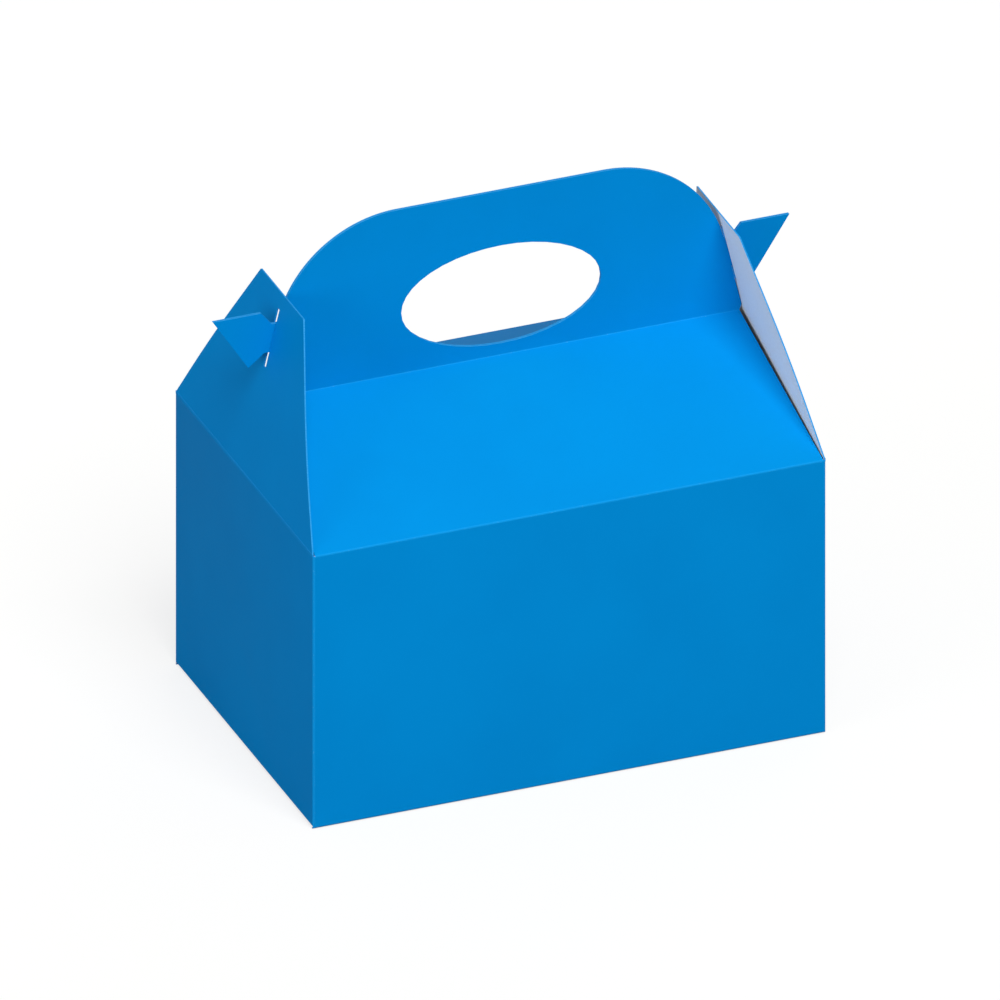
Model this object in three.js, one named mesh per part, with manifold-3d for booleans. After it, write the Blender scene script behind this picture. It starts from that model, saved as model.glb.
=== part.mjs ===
// Gable gift carton with a carry handle, folded from one die-cut sheet of printed board.
// Millimetres, +Z up. The origin is the middle of the base and the long side runs along X.
// The front strip of the sheet is bottom flap, wall, roof and handle half; the back strip is the
// same with a tongue on its bottom flap; each end strip is bottom flap and wall. The two end flaps
// hinge on the end walls and hook over the tabs at the ends of the handle.

import * as THREE from 'three';
import { mergeVertices } from 'three/addons/utils/BufferGeometryUtils.js';
import Module from 'manifold-3d';

const wasm = await Module();
wasm.setup();

// The board and how it folds
const board = 0.6;
const creaseRadius = 0.4; // inside radius of a crease
const foldSteps = 5; // facets round one crease
const cornerSteps = 6; // facets round one upright corner
const curveSteps = 20; // half the facets of one arc or ellipse of a cut outline
const layerGap = 0.15; // air between board lying on board
const clearance = 0.3; // air between an end flap and what it closes on

// The body
const bodyLength = 230;
const bodyDepth = 156;
const bodyHeight = 129; // base to the eave crease

// The roof, in front elevation
const ridgeHeight = 163.2; // base to the crease between roof and handle
const eaveInset = 0.4; // beyond the thickness of the end flap
const ridgeInset = 8.3; // how much the roof is shorter at each end of the ridge than at the wall

// The handle, in front elevation
const handleHeight = 77.8;
const notchWidth = 1.0; // step out of the outline at the ends of the ridge crease
const notchHeight = 2.6;
const handleLean = THREE.MathUtils.degToRad(13.5); // how far the handle's ends lean in
const shoulderRadius = 55;
const handleGap = 0.3; // air between the two halves of the handle
const holeWidth = 89.6;
const holeHeight = 46.4;
const holeRise = 28.7; // ridge crease to the middle of the hole

// The hook tabs on the handle's ends: heights above the ridge crease
const neckBottom = 22;
const neckTop = 35;
const tabTop = 41;
const barbBottom = 16.4;
const neckLength = 3.2; // from the handle's edge to the lower barb's root
const shoulderLength = 2.9; // from the handle's edge to the upper barb's root
const upperBarb = 9.1; // from the handle's edge to the upper barb's corner
const tabReach = 21.6; // length of the tab's top edge
const barbReach = 9; // from the handle's edge to the tip of the lower barb

// The end flaps
const flapReach = 45.5; // top edge above the foot of the handle
const flapTopWidth = 48;
const flapCornerRadius = 1.2;
const flapSideInset = 0.5; // at each side of the hinge crease
const bowRadius = 600; // how gently the flap bends over the handle's corner
const slotPlay = 0.6; // beyond each end of the tab, as the flap swings

// The bottom: front flap, end flaps and back flap lie on each other, and the tongue locks them
const frontFlapDepth = 92;
const frontFlapRamp = 12; // length over which the front flap rises on to the others
const backFlapDepth = 84;
const sideRelief = 0.9; // each bottom flap is shorter than its wall, at each end
const flapTaper = 3; // more of the same at the free edge
const tongueWidth = 112;
const tongueLength = 38;
const tongueRamp = 17.5;
const tongueLead = 2; // flat stretch before the ramp
const tongueCorner = 12;
const notchPlay = 1.5; // between the tongue and the notch that it enters, at each side
const notchDepth = 42;
const notchCorner = 5;
const dustFlapDepth = 56;
const dustFrontInset = 14; // where the end flap's slanted side starts, from the front wall
const dustFrontCut = 42; // how much more that side has slanted away at the free edge
const dustBackInset = 1;
const dustBackCut = 8;
const dustCorner = 8;

// The glued seam, inside the right end wall at the back
const seamWidth = 18;
const seamEndInset = 4;
const seamEndSlant = 5;
const glueBite = 0.02; // the seam is bonded to the wall

// Worked out from the above
const halfLength = bodyLength / 2;
const halfDepth = bodyDepth / 2;
const handleTop = ridgeHeight + handleHeight;
const frontFlapLevel = 2 * (board + layerGap) + board / 2;
const dustFlapLevel = board + layerGap + board / 2;
const tongueLevel = 3 * (board + layerGap) + board / 2;
const floorZone = tongueLevel + board; // everything of the bottom lies below this height
const eaveEnd = halfLength - board - eaveInset;
const ridgeEnd = halfLength - ridgeInset;
const handleHalfWidth = ridgeEnd + notchWidth;
const handleFoot = ridgeHeight + notchHeight;
const handleHalfThickness = handleGap / 2 + board;
const handleEdge = (z) => handleHalfWidth - (z - handleFoot) * Math.tan(handleLean);

const over = 5; // how far a cutting shape runs past what it cuts

// A closed geometry as a solid that can be joined and cut
function solid(geometry) {
  const bare = geometry.clone();
  bare.deleteAttribute('normal');
  bare.deleteAttribute('uv');
  const merged = mergeVertices(bare, 1e-5);
  return new wasm.Manifold(new wasm.Mesh({
    numProp: 3,
    vertProperties: merged.getAttribute('position').array,
    triVerts: new Uint32Array(merged.index.array),
  }));
}

function geometryOf(made) {
  const { vertProperties, triVerts } = made.getMesh();
  const geometry = new THREE.BufferGeometry();
  geometry.setAttribute('position', new THREE.BufferAttribute(vertProperties, 3));
  geometry.setIndex(new THREE.BufferAttribute(triVerts, 1));
  geometry.computeVertexNormals();
  return geometry;
}

// A flat outline extruded by depth, half to each side of its plane
function extruded(shape, depth, right, up) {
  const geometry = new THREE.ExtrudeGeometry(shape, { depth, bevelEnabled: false, curveSegments: curveSteps });
  geometry.translate(0, 0, -depth / 2);
  geometry.applyMatrix4(new THREE.Matrix4().makeBasis(right, up, right.clone().cross(up)));
  return solid(geometry);
}

const X = new THREE.Vector3(1, 0, 0);
const Y = new THREE.Vector3(0, 1, 0);
const Z = new THREE.Vector3(0, 0, 1);
const alongX = (shape, length) => extruded(shape, length, Y, Z); // the outline's axes are Y and Z
const alongY = (shape, length) => extruded(shape, length, X, Z); // the outline's axes are X and Z

// A prism on a plan outline, from one height to another
function upright(shape, bottom, top) {
  return extruded(shape, top - bottom, X, Y).translate([0, 0, (bottom + top) / 2]);
}

// An outline with straight sides whose corners are rounded to the radius given with each point
function roundedOutline(corners) {
  const shape = new THREE.Shape();
  corners.forEach(([x, y, radius = 0], i) => {
    const here = new THREE.Vector2(x, y);
    const [before, after] = [corners.at(i - 1), corners[(i + 1) % corners.length]]
      .map(([px, py]) => new THREE.Vector2(px, py).sub(here).normalize());
    const half = Math.acos(THREE.MathUtils.clamp(before.dot(after), -1, 1)) / 2;
    const reach = radius / Math.tan(half);
    const enter = here.clone().addScaledVector(before, reach);
    const leave = here.clone().addScaledVector(after, reach);
    if (i === 0) shape.moveTo(enter.x, enter.y);
    else shape.lineTo(enter.x, enter.y);
    if (radius > 0) {
      const centre = before.clone().add(after).setLength(radius / Math.sin(half)).add(here);
      const [from, to] = [enter, leave].map((p) => Math.atan2(p.y - centre.y, p.x - centre.x));
      shape.absarc(centre.x, centre.y, radius, from, to, before.cross(after) > 0);
    }
  });
  shape.closePath();
  return shape;
}

// The section of one strip of board that follows a bent line: each inner point of the line is
// a crease, rounded to its own radius or to the usual one
function bentBoard(line) {
  const points = line.map(([x, y]) => new THREE.Vector2(x, y));
  const middle = [];
  const stop = (point, along) => middle.push({ point, side: new THREE.Vector2(-along.y, along.x) });
  const heading = (i) => points[i + 1].clone().sub(points[i]).normalize();
  stop(points[0], heading(0));
  for (let i = 1; i < points.length - 1; i++) {
    const [before, after] = [heading(i - 1), heading(i)];
    const turn = Math.atan2(before.cross(after), before.dot(after));
    const radius = line[i][2] ?? creaseRadius + board / 2;
    const start = points[i].clone().addScaledVector(before, -radius * Math.tan(Math.abs(turn) / 2));
    const toCentre = new THREE.Vector2(-before.y, before.x).multiplyScalar(Math.sign(turn) * radius);
    const centre = start.clone().add(toCentre);
    for (let k = 0; k <= foldSteps; k++) {
      const angle = turn * k / foldSteps;
      const point = start.clone().rotateAround(centre, angle);
      stop(point, before.clone().rotateAround(new THREE.Vector2(), angle));
    }
  }
  stop(points.at(-1), heading(points.length - 2));
  const edge = (sign) => middle.map(({ point, side }) => point.clone().addScaledVector(side, sign * board / 2));
  return new THREE.Shape([...edge(1), ...edge(-1).reverse()]);
}

// The hook tab at the right end of the handle, from its neck's foot round to its neck's top
function hookTab() {
  const at = (rise, out) => [handleEdge(ridgeHeight + rise) + out, ridgeHeight + rise];
  const upper = at(tabTop, upperBarb);
  return [
    at(neckBottom, 0),
    at(neckBottom, neckLength),
    at(barbBottom, barbReach),
    [upper[0] + tabReach, upper[1]],
    upper,
    at(neckTop, shoulderLength),
    at(neckTop, 0),
  ];
}

// The cut outline of wall, roof and handle in front elevation, the same for the front and the back
function frontElevation() {
  const shoulderZ = handleTop - shoulderRadius;
  const shoulderX = handleEdge(shoulderZ) - shoulderRadius / Math.cos(handleLean);
  const ends = (side) => {
    const points = [
      [halfLength, bodyHeight],
      [eaveEnd, bodyHeight],
      [ridgeEnd, ridgeHeight],
      [handleHalfWidth, handleFoot],
      ...hookTab(),
    ];
    return points.map(([x, z]) => new THREE.Vector2(side * x, z));
  };
  const shape = new THREE.Shape();
  shape.moveTo(-halfLength, floorZone - board);
  shape.lineTo(halfLength, floorZone - board);
  ends(1).forEach((p) => shape.lineTo(p.x, p.y));
  shape.absarc(shoulderX, shoulderZ, shoulderRadius, handleLean, Math.PI / 2);
  shape.absarc(-shoulderX, shoulderZ, shoulderRadius, Math.PI / 2, Math.PI - handleLean);
  ends(-1).reverse().forEach((p) => shape.lineTo(p.x, p.y));
  shape.closePath();
  const hole = new THREE.Path();
  hole.absellipse(0, ridgeHeight + holeRise, holeWidth / 2, holeHeight / 2, 0, 2 * Math.PI);
  shape.holes.push(hole);
  return alongY(shape, bodyDepth + over);
}

// Plan outlines of the bottom flaps, each with the foot of its own wall
function frontFlapPlan() {
  const [root, tip] = [halfLength - sideRelief, halfLength - sideRelief - flapTaper];
  const wallLine = -halfDepth + creaseRadius + board;
  const free = -halfDepth + frontFlapDepth;
  const notch = tongueWidth / 2 + notchPlay;
  return roundedOutline([
    [-halfLength, -halfDepth - over], [halfLength, -halfDepth - over], [halfLength, wallLine],
    [root, wallLine], [tip, free, notchCorner],
    [notch, free, notchCorner], [notch, free - notchDepth, notchCorner],
    [-notch, free - notchDepth, notchCorner], [-notch, free, notchCorner],
    [-tip, free, notchCorner], [-root, wallLine], [-halfLength, wallLine],
  ]);
}

function backFlapPlan() {
  const [root, tip] = [halfLength - sideRelief, halfLength - sideRelief - flapTaper];
  const wallLine = halfDepth - creaseRadius - board;
  const free = halfDepth - backFlapDepth;
  const tongue = tongueWidth / 2;
  return roundedOutline([
    [halfLength, halfDepth + over], [-halfLength, halfDepth + over], [-halfLength, wallLine],
    [-root, wallLine], [-tip, free, notchCorner],
    [-tongue, free, notchPlay], [-tongue, free - tongueLength, tongueCorner],
    [tongue, free - tongueLength, tongueCorner], [tongue, free, notchPlay],
    [tip, free, notchCorner], [root, wallLine], [halfLength, wallLine],
  ]);
}

function dustFlapPlan() {
  const wallLine = halfLength - creaseRadius - board;
  const free = halfLength - dustFlapDepth;
  const front = -halfDepth + dustFrontInset;
  const back = halfDepth - dustBackInset;
  return roundedOutline([
    [halfLength + over, -halfDepth], [halfLength + over, halfDepth], [wallLine, halfDepth],
    [wallLine, back], [free, back - dustBackCut, dustCorner],
    [free, front + dustFrontCut, dustCorner], [wallLine, front], [wallLine, -halfDepth],
  ]);
}

// Front strip: bottom flap, wall, roof and the front half of the handle
function frontStrip() {
  const wall = -halfDepth + board / 2;
  const handle = -handleHalfThickness + board / 2;
  const sheet = alongX(bentBoard([
    [-halfDepth + frontFlapDepth, frontFlapLevel],
    [-halfDepth + frontFlapRamp, frontFlapLevel, board],
    [wall, board / 2],
    [wall, bodyHeight],
    [handle, ridgeHeight],
    [handle, handleTop],
  ]), 2 * (halfLength + tabReach + upperBarb));
  return sheet.intersect(frontElevation().add(upright(frontFlapPlan(), -over, floorZone)));
}

// Back strip: tongue, bottom flap, wall, roof and the back half of the handle
function backStrip() {
  const wall = halfDepth - board / 2;
  const handle = handleHalfThickness - board / 2;
  const free = halfDepth - backFlapDepth;
  const sheet = alongX(bentBoard([
    [free - tongueLength, tongueLevel],
    [free - tongueLead - tongueRamp, tongueLevel, board],
    [free - tongueLead, board / 2, board],
    [wall, board / 2],
    [wall, bodyHeight],
    [handle, ridgeHeight],
    [handle, handleTop],
  ]), 2 * (halfLength + tabReach + upperBarb));
  return sheet.intersect(frontElevation().add(upright(backFlapPlan(), -over, floorZone)));
}

// Right end strip: bottom flap and wall, turned half round for the left end
function endStrip() {
  const wall = halfLength - board / 2;
  const sheet = alongY(bentBoard([
    [halfLength - dustFlapDepth, dustFlapLevel],
    [wall, dustFlapLevel],
    [wall, bodyHeight],
  ]), bodyDepth);
  const aboveFloor = new THREE.Shape([
    new THREE.Vector2(0, floorZone - board), new THREE.Vector2(halfLength + over, floorZone - board),
    new THREE.Vector2(halfLength + over, bodyHeight), new THREE.Vector2(0, bodyHeight),
  ]);
  const keep = alongY(aboveFloor, bodyDepth).add(upright(dustFlapPlan(), -over, floorZone));
  return sheet.intersect(keep);
}

// The left end's bottom flap has its slanted side at the front too, so it is mirrored, not turned
function mirroredEndStrip() {
  return endStrip().mirror([1, 0, 0]);
}

// The seam flap of the back wall, bonded inside the right end wall
function seam() {
  const back = halfDepth - board / 2;
  const front = halfDepth - board - seamWidth;
  const [low, high] = [floorZone + seamEndInset, bodyHeight - seamEndInset];
  const outline = new THREE.Shape([
    new THREE.Vector2(back, low), new THREE.Vector2(back, high),
    new THREE.Vector2(front, high - seamEndSlant), new THREE.Vector2(front, low + seamEndSlant),
  ]);
  const middle = halfLength - 1.5 * board + glueBite / 2;
  return alongX(outline, board + glueBite).translate([middle, 0, 0]);
}

// What is cut from the square upright corners to round them
function cornerCuts() {
  const radius = creaseRadius + board;
  const cuts = [];
  for (const sx of [-1, 1]) {
    for (const sy of [-1, 1]) {
      const centre = new THREE.Vector2(sx * (halfLength - radius), sy * (halfDepth - radius));
      const arc = Array.from({ length: cornerSteps + 1 }, (_, k) => {
        const angle = Math.PI / 2 * k / cornerSteps;
        return new THREE.Vector2(centre.x + sx * radius * Math.cos(angle), centre.y + sy * radius * Math.sin(angle));
      });
      const outline = new THREE.Shape([
        ...arc,
        new THREE.Vector2(centre.x, centre.y + sy * (radius + over)),
        new THREE.Vector2(centre.x + sx * (radius + over), centre.y + sy * (radius + over)),
        new THREE.Vector2(centre.x + sx * (radius + over), centre.y),
      ]);
      cuts.push(upright(outline, -over, bodyHeight));
    }
  }
  return wasm.Manifold.union(cuts);
}

function carton() {
  return wasm.Manifold.union([frontStrip(), backStrip(), endStrip(), mirroredEndStrip(), seam()])
    .subtract(cornerCuts());
}

// An end flap, in the frame of its hinge crease: X outwards, the crease along Y.
// It leans on the handle's foot, bends over it and follows the handle's end upwards.
function endFlap() {
  const foot = [-board / 2, clearance];
  const bendZ = handleFoot - bodyHeight;
  const cornerX = handleHalfWidth - halfLength + clearance + board / 2; // beside the foot, without the bow
  const bend = handleLean - Math.atan2(-cornerX, bendZ);
  const bow = Math.min(bowRadius, 0.9 * Math.min(bendZ, flapReach) / Math.abs(Math.tan(bend / 2)));
  const bendX = cornerX + Math.sign(bend) * bow * (1 / Math.cos(bend / 2) - 1);
  const topZ = bendZ + flapReach;
  const topX = bendX - (topZ - bendZ) * Math.tan(handleLean);
  const sheet = alongY(bentBoard([foot, [bendX, bendZ, bow], [topX, topZ]]), bodyDepth);

  const root = halfDepth - flapSideInset;
  const outline = roundedOutline([
    [-root, 0], [root, 0],
    [flapTopWidth / 2, topZ, flapCornerRadius], [-flapTopWidth / 2, topZ, flapCornerRadius],
  ]);
  const trim = alongX(outline, bodyLength);

  // The slot's ends are arcs round the hinge, so that the tab passes through as the flap swings
  const swing = hookTab().slice(1, -1).map(([x, z]) => Math.hypot(x - halfLength, z - bodyHeight));
  const [inner, outer] = [Math.min(...swing) - slotPlay, Math.max(...swing) + slotPlay];
  const slot = new THREE.Shape();
  slot.absarc(0, 0, outer, 0, Math.PI);
  slot.absarc(0, 0, inner, Math.PI, 0, true);
  slot.closePath();
  const slotWidth = 2 * (handleHalfThickness + clearance);
  return sheet.intersect(trim).subtract(alongY(slot, slotWidth));
}

const printedBoard = new THREE.MeshStandardMaterial({ color: 0x0083cd, roughness: 0.45, metalness: 0 });

function piece(name, made) {
  const mesh = new THREE.Mesh(geometryOf(made), printedBoard);
  mesh.name = name;
  return mesh;
}

const giftCarton = new THREE.Group();
giftCarton.add(piece('carton', carton()));

const flapShape = endFlap();
const rightFlap = piece('right_end_flap', flapShape);
rightFlap.position.set(halfLength, 0, bodyHeight);
const leftFlap = piece('left_end_flap', flapShape);
leftFlap.position.set(-halfLength, 0, bodyHeight);
leftFlap.rotation.z = Math.PI;
giftCarton.add(rightFlap, leftFlap);

export default giftCarton;
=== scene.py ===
import bmesh
import bpy
import numpy as np
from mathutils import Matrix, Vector


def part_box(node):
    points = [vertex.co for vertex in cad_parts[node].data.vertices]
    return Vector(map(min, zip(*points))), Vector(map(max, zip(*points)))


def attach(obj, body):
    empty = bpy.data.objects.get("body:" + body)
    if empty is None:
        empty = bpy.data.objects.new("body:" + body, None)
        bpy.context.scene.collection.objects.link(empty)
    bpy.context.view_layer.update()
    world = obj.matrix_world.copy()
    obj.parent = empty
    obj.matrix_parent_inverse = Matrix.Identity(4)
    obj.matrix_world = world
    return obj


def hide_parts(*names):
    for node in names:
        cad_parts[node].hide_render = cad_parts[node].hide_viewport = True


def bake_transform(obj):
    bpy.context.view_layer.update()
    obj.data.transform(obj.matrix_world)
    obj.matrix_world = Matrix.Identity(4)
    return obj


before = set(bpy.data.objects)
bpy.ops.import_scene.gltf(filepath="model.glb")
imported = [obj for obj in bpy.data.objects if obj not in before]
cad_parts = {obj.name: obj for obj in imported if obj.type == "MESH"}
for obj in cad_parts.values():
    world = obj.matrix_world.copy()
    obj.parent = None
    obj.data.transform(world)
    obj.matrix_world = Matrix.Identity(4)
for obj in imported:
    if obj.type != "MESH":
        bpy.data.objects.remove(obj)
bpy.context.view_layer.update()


# The picture is a parallel projection, so the camera is orthographic. It looks down on the box
# from the front left, and the middle of the base lies below the middle of the picture.
PICTURE_PIXELS = 1000
METRES_PER_PIXEL = 0.00041674
BASE_MIDDLE_PIXEL = (500.6, 698.1)
CAMERA_AZIMUTH = np.radians(-21.6)
CAMERA_ELEVATION = np.radians(28.5)
CAMERA_DISTANCE = 2.0

towards_camera = Vector((
    np.sin(CAMERA_AZIMUTH) * np.cos(CAMERA_ELEVATION),
    -np.cos(CAMERA_AZIMUTH) * np.cos(CAMERA_ELEVATION),
    np.sin(CAMERA_ELEVATION),
))
turn = towards_camera.to_track_quat("Z", "Y")
picture_right = turn @ Vector((1, 0, 0))
picture_up = turn @ Vector((0, 1, 0))
right_shift = (PICTURE_PIXELS / 2 - BASE_MIDDLE_PIXEL[0]) * METRES_PER_PIXEL
up_shift = (BASE_MIDDLE_PIXEL[1] - PICTURE_PIXELS / 2) * METRES_PER_PIXEL
picture_middle = picture_right * right_shift + picture_up * up_shift

lens = bpy.data.cameras.new("camera")
lens.type = "ORTHO"
lens.ortho_scale = PICTURE_PIXELS * METRES_PER_PIXEL
camera = bpy.data.objects.new("camera", lens)
camera.location = picture_middle + towards_camera * CAMERA_DISTANCE
camera.rotation_euler = turn.to_euler()
bpy.context.scene.collection.objects.link(camera)
bpy.context.scene.camera = camera
bpy.context.scene.view_settings.view_transform = "Standard"


# The folded sheet. The whole box is one sheet of white board, 0.6 mm thick, printed blue on one
# side and varnished, then cut, creased, folded and glued up. It shows four finishes: the print,
# the print stretched over a crease, the bare inside, and the cut edge, a little paler than the print.
BOARD = 0.0006
PRINT_BLUE = (0.0, 0.246, 0.67, 1)
PRINT_BLUE_THIN = (0.0, 0.257, 0.692, 1)
CREASED_BLUE = (0.003, 0.272, 0.711, 1)
CRACKED_INK = (0.066, 0.365, 0.77, 1)
BARE_BOARD = (0.94, 0.90, 0.86, 1)
BARE_BOARD_DARK = (0.89, 0.85, 0.81, 1)
CUT_EDGE = (0.04, 0.33, 0.74, 1)
CUT_EDGE_DARK = (0.012, 0.27, 0.69, 1)

# How many spots of each texture fit in a metre. The fibres are drawn out along the box.
INK_CLOUDS_PER_METRE = 22
INK_SPECKS_PER_METRE = 2600
CREASE_CRACKS_PER_METRE = 1600
FIBRES_PER_METRE = 900
EDGE_FIBRES_PER_METRE = 3000
FIBRE_STRETCH = 0.12

# Where in the noise the darker tone ends and the lighter one begins.
EVEN_CONTRAST = (0.35, 0.65)
CREASE_CONTRAST = (0.62, 0.78)
BOARD_CONTRAST = (0.15, 0.6)

# The relief in metres, the roughness from the lowest to the highest grain, and the shine.
PRINT_RELIEF = 0.00001
CREASE_RELIEF = 0.00004
BOARD_RELIEF = 0.00003
EDGE_RELIEF = 0.00004
RELIEF_STRENGTH = 0.5
PRINT_ROUGHNESS = (0.46, 0.56)
CREASE_ROUGHNESS = (0.5, 0.7)
BOARD_ROUGHNESS = (0.85, 0.95)
PRINT_SHINE = 0.02
BOARD_SHINE = 0.05
TONE_DETAIL = 4
GRAIN_DETAIL = 3


def noise_over(made, per_metre, detail, stretch):
    """A noise in the object's own space, drawn out along the box where stretch is under 1."""
    nodes, links = made.node_tree.nodes, made.node_tree.links
    place = nodes.new("ShaderNodeTexCoord")
    scaled = nodes.new("ShaderNodeMapping")
    scaled.inputs["Scale"].default_value = (stretch, 1, 1)
    noise = nodes.new("ShaderNodeTexNoise")
    noise.inputs["Scale"].default_value = per_metre
    noise.inputs["Detail"].default_value = detail
    links.new(place.outputs["Object"], scaled.inputs["Vector"])
    links.new(scaled.outputs["Vector"], noise.inputs["Vector"])
    return noise.outputs["Fac"]


def board_finish(name, dark, light, per_metre, contrast, shine, stretch=1.0):
    """A finish whose colour drifts between two tones."""
    made = bpy.data.materials.new(name)
    made.use_nodes = True
    nodes, links = made.node_tree.nodes, made.node_tree.links
    shader = nodes["Principled BSDF"]
    shader.inputs["Specular IOR Level"].default_value = shine
    ramp = nodes.new("ShaderNodeValToRGB")
    for end, position, tone in zip(ramp.color_ramp.elements, contrast, (dark, light)):
        end.position = position
        end.color = tone
    links.new(noise_over(made, per_metre, TONE_DETAIL, stretch), ramp.inputs["Fac"])
    links.new(ramp.outputs["Color"], shader.inputs["Base Color"])
    return made


def add_grain(made, per_metre, relief, roughness, stretch=1.0):
    """Fine relief from a second noise, which also varies the roughness between two values."""
    nodes, links = made.node_tree.nodes, made.node_tree.links
    shader = nodes["Principled BSDF"]
    grain = noise_over(made, per_metre, GRAIN_DETAIL, stretch)
    bump = nodes.new("ShaderNodeBump")
    bump.inputs["Distance"].default_value = relief
    bump.inputs["Strength"].default_value = RELIEF_STRENGTH
    spread = nodes.new("ShaderNodeMapRange")
    spread.inputs["To Min"].default_value = roughness[0]
    spread.inputs["To Max"].default_value = roughness[1]
    links.new(grain, bump.inputs["Height"])
    links.new(grain, spread.inputs["Value"])
    links.new(spread.outputs["Result"], shader.inputs["Roughness"])
    links.new(bump.outputs["Normal"], shader.inputs["Normal"])


varnished_print = board_finish(
    "varnished_print", PRINT_BLUE, PRINT_BLUE_THIN, INK_CLOUDS_PER_METRE, EVEN_CONTRAST, PRINT_SHINE)
add_grain(varnished_print, INK_SPECKS_PER_METRE, PRINT_RELIEF, PRINT_ROUGHNESS)
creased_print = board_finish(
    "creased_print", CREASED_BLUE, CRACKED_INK, CREASE_CRACKS_PER_METRE, CREASE_CONTRAST, PRINT_SHINE)
add_grain(creased_print, CREASE_CRACKS_PER_METRE, CREASE_RELIEF, CREASE_ROUGHNESS)
bare_board = board_finish(
    "bare_board", BARE_BOARD_DARK, BARE_BOARD, FIBRES_PER_METRE, BOARD_CONTRAST, BOARD_SHINE,
    FIBRE_STRETCH)
add_grain(bare_board, FIBRES_PER_METRE, BOARD_RELIEF, BOARD_ROUGHNESS, FIBRE_STRETCH)
cut_edge = board_finish(
    "cut_edge", CUT_EDGE_DARK, CUT_EDGE, EDGE_FIBRES_PER_METRE, EVEN_CONTRAST, BOARD_SHINE,
    FIBRE_STRETCH)
add_grain(cut_edge, EDGE_FIBRES_PER_METRE, EDGE_RELIEF, BOARD_ROUGHNESS, FIBRE_STRETCH)

FINISHES = (varnished_print, creased_print, bare_board, cut_edge)
PRINT, CREASED, BARE, EDGE = range(len(FINISHES))

# Where the panels meet. The body's own size is read from the solids. The bottom flaps all lie
# below BOTTOM_TOP, and the two halves of the handle, with their gap, are HANDLE_THICKNESS thick.
CREASE_GAP = 0.0003
RIDGE_LEVEL = 0.1632
BOTTOM_TOP = 0.0032
HANDLE_THICKNESS = 0.0015
HANDLE_REACH = 1.25 * HANDLE_THICKNESS
WALL_REACH = 0.0011
FOLD_REACH = 2 * BOARD
EAVE_REACH = 4 * BOARD
flap_low, flap_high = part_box("right_end_flap")
half_length = flap_high.x
half_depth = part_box("carton")[1].y
eave_level = flap_low.z - CREASE_GAP

# A face is told by how much of its normal lies along an axis: nearly all of it on a flat panel,
# little on a rounded crease, and along the box on the cut ends of the roof and the handle.
WALL_IS_FLAT = 0.999
HANDLE_IS_FLAT = 0.995
RIM_IS_LEVEL = 0.9
FLAP_IS_FLAT = 0.7
LOOKS_UP_OR_DOWN = 0.5
LOOKS_ENDWAYS = 0.3
CORNER_TILT = 0.1
ROUNDED = 0.05
FOLD_TILT = 0.02


def carton_finish(middle, normal):
    """Which finish a face of the folded sheet has, from where it is and which way it looks."""
    if middle.z > RIDGE_LEVEL - FOLD_REACH and abs(middle.y) < HANDLE_REACH:
        return handle_finish(middle, normal)
    if middle.z > eave_level + FOLD_REACH:
        return roof_finish(normal)
    if middle.z > BOTTOM_TOP:
        return wall_finish(middle, normal)
    return bottom_finish(middle, normal)


def handle_finish(middle, normal):
    """The two halves of the handle part: print on both outer sides, cut all round and in the hole."""
    outward_y = normal.y * np.sign(middle.y)
    above_ridge = middle.z > RIDGE_LEVEL + FOLD_REACH
    looks_up = normal.z > LOOKS_UP_OR_DOWN
    if abs(normal.x) > LOOKS_ENDWAYS or (looks_up and above_ridge):
        return EDGE
    # Of the inner sides only the rim shows, between the two cut edges, so they have the same tone.
    if abs(normal.y) > HANDLE_IS_FLAT:
        return PRINT if outward_y > 0 else EDGE
    if above_ridge:
        return EDGE
    return CREASED if outward_y > 0 or looks_up else BARE


def roof_finish(normal):
    """The two roof panels: print above, bare board below, and cut at both ends."""
    if abs(normal.x) > LOOKS_ENDWAYS:
        return EDGE
    return PRINT if normal.z > 0 else BARE


def wall_finish(middle, normal):
    """The four walls: print outside, creases down the corners and along the eaves, bare inside."""
    outward_x = normal.x * np.sign(middle.x)
    outward_y = normal.y * np.sign(middle.y)
    at_front_or_back = abs(middle.y) > half_depth - WALL_REACH
    at_an_end = abs(middle.x) > half_length - WALL_REACH
    at_the_eave = middle.z > eave_level - EAVE_REACH
    if at_front_or_back and outward_y > WALL_IS_FLAT:
        return PRINT
    if at_an_end and outward_x > WALL_IS_FLAT:
        return PRINT
    if at_the_eave and normal.z > ROUNDED and (normal.z > RIM_IS_LEVEL or not at_an_end):
        return CREASED
    at_a_corner = at_front_or_back and at_an_end and abs(normal.z) < CORNER_TILT
    if at_a_corner and outward_x > ROUNDED and outward_y > ROUNDED:
        return CREASED
    return BARE


def bottom_finish(middle, normal):
    """The bottom flaps: print below, bare board above, creased along the walls and cut elsewhere."""
    outward_x = normal.x * np.sign(middle.x)
    outward_y = normal.y * np.sign(middle.y)
    if normal.z < -LOOKS_UP_OR_DOWN:
        return PRINT
    if normal.z > LOOKS_UP_OR_DOWN:
        return BARE
    under_a_wall = abs(middle.y) > half_depth - WALL_REACH and outward_y > 0
    under_an_end = abs(middle.x) > half_length - WALL_REACH and outward_x > 0
    if under_a_wall or under_an_end:
        return CREASED if abs(normal.z) > FOLD_TILT else PRINT
    return EDGE


def flap_finish(middle, normal):
    """An end flap's faces: print outside, bare board inside, and its outline and slot are cut."""
    if abs(normal.x) < FLAP_IS_FLAT:
        return EDGE
    return PRINT if normal.x * middle.x > 0 else BARE


# Points closer than WELD are one point, and an edge that turns by more than SHARP_TURN stays sharp.
WELD = 0.000002
SHARP_TURN = np.radians(32)


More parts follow.
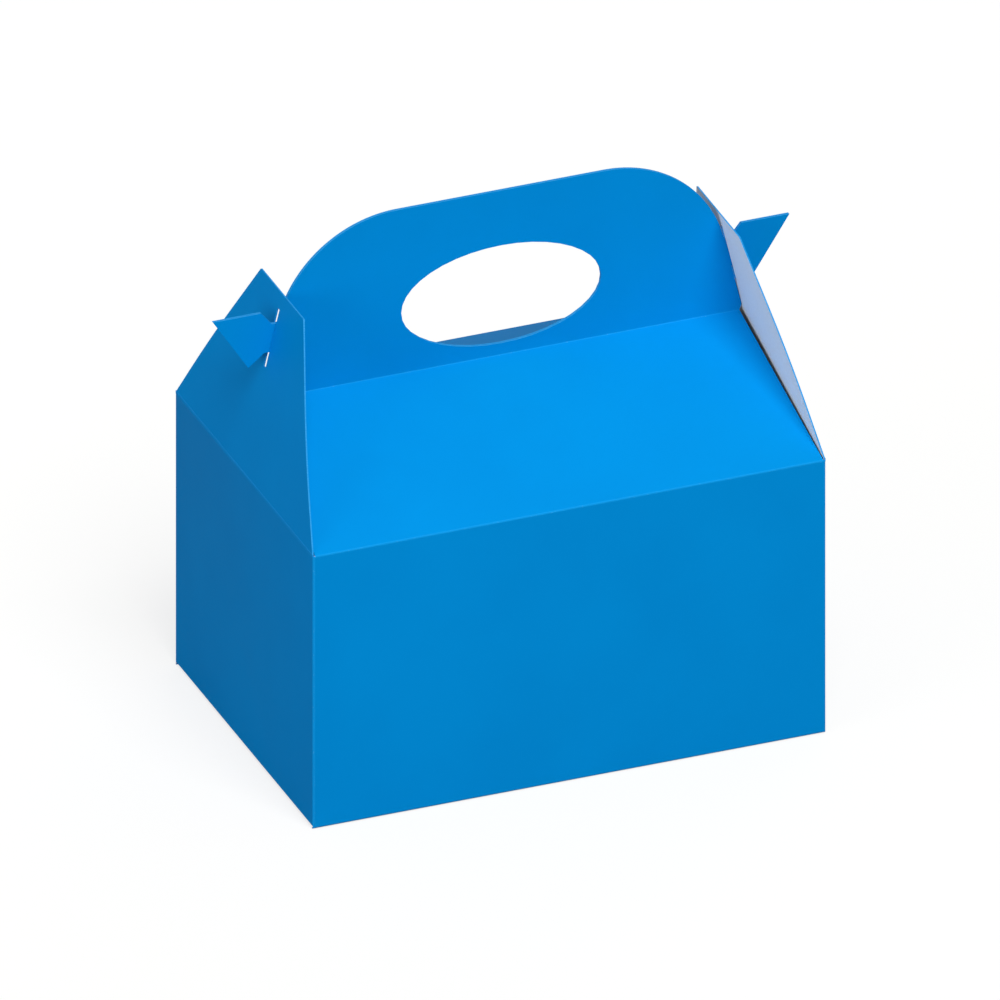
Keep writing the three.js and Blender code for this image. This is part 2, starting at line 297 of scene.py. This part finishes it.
def dressed(node, name, finish_of, body):
    """The board of one solid as a piece with its finishes, smooth over creases and sharp at cuts."""
    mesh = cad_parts[node].data.copy()
    mesh.name = name
    mesh.materials.clear()
    for finish in FINISHES:
        mesh.materials.append(finish)
    shape = bmesh.new()
    shape.from_mesh(mesh)
    bmesh.ops.remove_doubles(shape, verts=shape.verts, dist=WELD)
    shape.normal_update()
    for face in shape.faces:
        face.material_index = finish_of(face.calc_center_median(), face.normal)
        face.smooth = True
    for edge in shape.edges:
        edge.smooth = len(edge.link_faces) == 2 and edge.calc_face_angle(0) <= SHARP_TURN
    shape.to_mesh(mesh)
    shape.free()
    piece = bpy.data.objects.new(name, mesh)
    bpy.context.scene.collection.objects.link(piece)
    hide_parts(node)
    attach(piece, body)


dressed("carton", "folded_sheet", carton_finish, "box")


# The two end flaps. They are the same sheet, beyond the crease at the top of each end wall, and
# stand against the ends of the handle with its hook tabs through their slots.
for side in ("left", "right"):
    dressed(f"{side}_end_flap", f"{side}_flap_board", flap_finish, f"{side}_flap")


# The creases that the end flaps swing on. Here the board is pressed thin, so that it bends: a
# strip joins the top of the end wall to the foot of the flap.
CREASE_ROWS = 9
CREASE_BITE = 0.0006
CREASE_SIDE_INSET = 0.0006
CREASE_PROUD = 0.00002
CREASE_SIDES = (CREASED, EDGE, BARE, EDGE)


def crease_strip(side, sign):
    """A strip of board across one flap's hinge line, built in rows."""
    low = eave_level - CREASE_BITE
    high = eave_level + CREASE_GAP + CREASE_BITE
    half_width = half_depth - CREASE_SIDE_INSET
    outer = half_length + CREASE_PROUD
    inner = half_length - BOARD - CREASE_PROUD
    outline = ((outer, -half_width), (outer, half_width), (inner, half_width), (inner, -half_width))
    shape = bmesh.new()
    rows = []
    for k in range(CREASE_ROWS):
        z = low + (high - low) * k / (CREASE_ROWS - 1)
        rows.append([shape.verts.new((sign * x, y, z)) for x, y in outline])
    for below, above in zip(rows, rows[1:]):
        for k, finish in enumerate(CREASE_SIDES):
            after = (k + 1) % len(CREASE_SIDES)
            face = shape.faces.new((below[k], below[after], above[after], above[k]))
            face.material_index = finish
    for rim in (rows[0][::-1], rows[-1]):
        shape.faces.new(rim).material_index = EDGE
    bmesh.ops.recalc_face_normals(shape, faces=shape.faces)
    mesh = bpy.data.meshes.new(f"{side}_crease")
    shape.to_mesh(mesh)
    shape.free()
    for finish in FINISHES:
        mesh.materials.append(finish)
    piece = bpy.data.objects.new(f"{side}_crease", mesh)
    bpy.context.scene.collection.objects.link(piece)
    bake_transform(piece)


crease_strip("left", -1)
crease_strip("right", 1)


# The table. It is plain white to the camera, with only a faint shadow, and lights the box like a
# greyer table. It lies a hair below the box's bottom, so that the two never share a plane.
TABLE_SIZE = 8.0
TABLE_SINK = 0.0002
TABLE_BOUNCE = (0.25, 0.25, 0.25, 1)
TABLE_WHITE = (0.95, 0.95, 0.95, 1)
SHADOW_SHARE = 0.24


def show_to_camera(tree, lighting, seen, output_type):
    """Ends a shader tree so that the camera sees one shader and the box is lit by the other."""
    path = tree.nodes.new("ShaderNodeLightPath")
    choice = tree.nodes.new("ShaderNodeMixShader")
    surface = tree.nodes.new(output_type)
    tree.links.new(path.outputs["Is Camera Ray"], choice.inputs["Fac"])
    tree.links.new(lighting, choice.inputs[1])
    tree.links.new(seen, choice.inputs[2])
    tree.links.new(choice.outputs["Shader"], surface.inputs["Surface"])


table_paint = bpy.data.materials.new("table_paint")
table_paint.use_nodes = True
paint = table_paint.node_tree
paint.nodes.clear()
bounce = paint.nodes.new("ShaderNodeBsdfDiffuse")
bounce.inputs["Color"].default_value = TABLE_BOUNCE
white = paint.nodes.new("ShaderNodeBsdfDiffuse")
white.inputs["Color"].default_value = TABLE_WHITE
glow = paint.nodes.new("ShaderNodeEmission")
faint = paint.nodes.new("ShaderNodeMixShader")
faint.inputs["Fac"].default_value = SHADOW_SHARE
paint.links.new(glow.outputs["Emission"], faint.inputs[1])
paint.links.new(white.outputs["BSDF"], faint.inputs[2])
show_to_camera(paint, bounce.outputs["BSDF"], faint.outputs["Shader"], "ShaderNodeOutputMaterial")

bpy.ops.mesh.primitive_plane_add(size=TABLE_SIZE, location=(0, 0, -TABLE_SINK))
table = bpy.context.object
table.name = "table"
table.data.materials.append(table_paint)


# The light. A soft key lamp from the front and above gives the roof its light tone. A low fill lamp
# from the left reaches the inside of the right flap and leaves the left end the darkest side. A weak
# lamp from behind keeps the back readable. The sky is an even white.
SKY_WHITE = (1, 1, 1, 1)
SKY_STRENGTH = 0.30
KEY_PUSH = Vector((0, -0.504, 0.711))
KEY_COLOUR = (1.0, 1.0, 0.95)
KEY_SPREAD = np.radians(35)
FILL_PUSH = Vector((-0.306, -0.117, 0.045))
BACK_PUSH = Vector((0.135, 0.162, 0.027))
PLAIN_WHITE = (1.0, 1.0, 1.0)
WIDE_SPREAD = np.radians(40)

sky = bpy.data.worlds.new("sky")
bpy.context.scene.world = sky
sky.use_nodes = True
air = sky.node_tree
air.nodes.clear()
daylight = air.nodes.new("ShaderNodeBackground")
daylight.inputs["Color"].default_value = SKY_WHITE
daylight.inputs["Strength"].default_value = SKY_STRENGTH
backdrop = air.nodes.new("ShaderNodeBackground")
backdrop.inputs["Color"].default_value = SKY_WHITE
show_to_camera(air, daylight.outputs[0], backdrop.outputs[0], "ShaderNodeOutputWorld")

# A lamp's push is the direction that it shines from, and its length is how much light it gives.
for name, push, colour, spread in (
    ("key_lamp", KEY_PUSH, KEY_COLOUR, KEY_SPREAD),
    ("fill_lamp", FILL_PUSH, PLAIN_WHITE, WIDE_SPREAD),
    ("back_lamp", BACK_PUSH, PLAIN_WHITE, WIDE_SPREAD),
):
    lamp_data = bpy.data.lights.new(name, "SUN")
    lamp_data.energy = np.pi * push.length
    lamp_data.color = colour
    lamp_data.angle = spread
    lamp = bpy.data.objects.new(name, lamp_data)
    lamp.rotation_euler = push.to_track_quat("Z", "Y").to_euler()
    bpy.context.scene.collection.objects.link(lamp)
